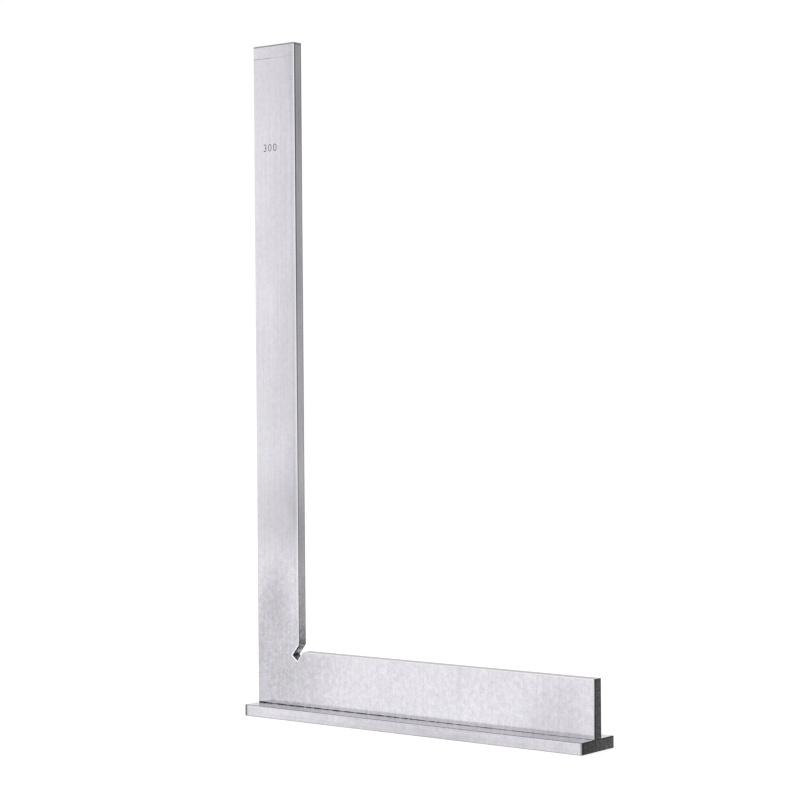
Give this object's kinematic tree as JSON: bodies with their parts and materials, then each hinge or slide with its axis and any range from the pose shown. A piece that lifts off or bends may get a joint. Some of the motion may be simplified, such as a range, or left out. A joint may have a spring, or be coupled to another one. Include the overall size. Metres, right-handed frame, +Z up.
{
  "type": "engineer's square with stop base",
  "caption": "Fixed right-angle steel square: a flat L-shaped blade standing on a flat stop base that makes a T section with its short leg.",
  "frame": {"origin": "middle of the base's underside", "axes": "+X along the short leg, away from the long leg; +Y through the blade's thickness, away from the face with the size figures; +Z up the long leg"},
  "size_m": [0.18, 0.0234, 0.3],
  "materials": {
    "blade_steel": "bare steel, ground satin, with a rough dark saw-cut end",
    "base_steel": "bare steel, ground satin, with rough dark saw-cut ends",
    "screw_steel": "blackened screw steel, semi-matt",
    "dowel_steel": "hardened and ground pin steel, bright"
  },
  "bodies": {
    "root": {"blade": "blade_steel", "base": "base_steel", "base_screw_1": "screw_steel", "base_screw_2": "screw_steel", "base_screw_3": "screw_steel", "base_screw_4": "screw_steel", "dowel_pin_1": "dowel_steel", "dowel_pin_2": "dowel_steel"}
  },
  "joints": []
}
